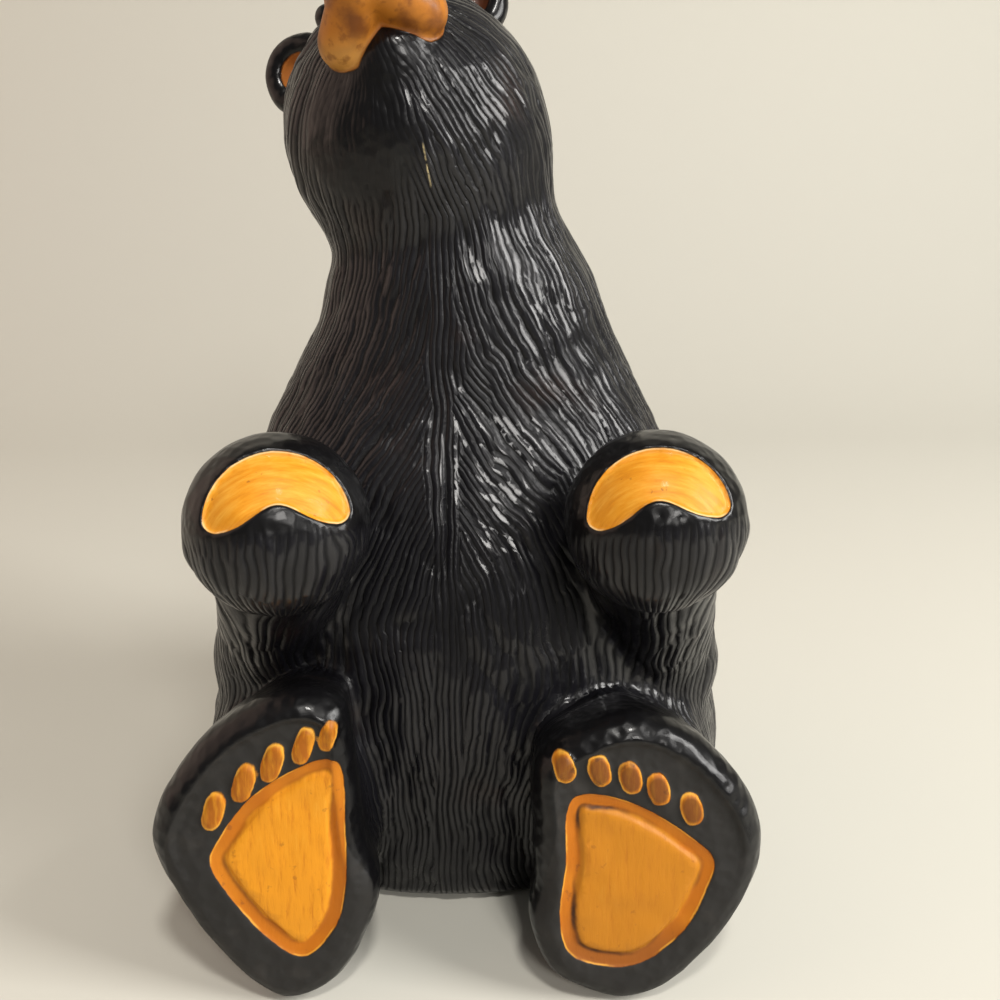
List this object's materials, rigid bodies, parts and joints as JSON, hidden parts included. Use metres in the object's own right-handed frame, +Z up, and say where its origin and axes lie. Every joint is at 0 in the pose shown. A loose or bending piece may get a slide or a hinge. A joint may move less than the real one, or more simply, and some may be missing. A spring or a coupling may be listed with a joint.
{
  "type": "seated bear figurine",
  "caption": "Seated black bear figurine with its head thrown back, carved fur, raised paws and large amber foot pads, cast in one piece.",
  "frame": {"origin": "middle of the bounding box in plan, on the surface that the figure sits on", "axes": "+Z up; the bear faces -Y, with its right paw at -X and its left paw at +X"},
  "size_m": [0.1548, 0.1554, 0.2451],
  "materials": {
    "painted_resin": "gloss black paint over cast resin with amber pads, muzzle and ear linings"
  },
  "bodies": {
    "root": {"bear": "painted_resin"}
  },
  "joints": []
}
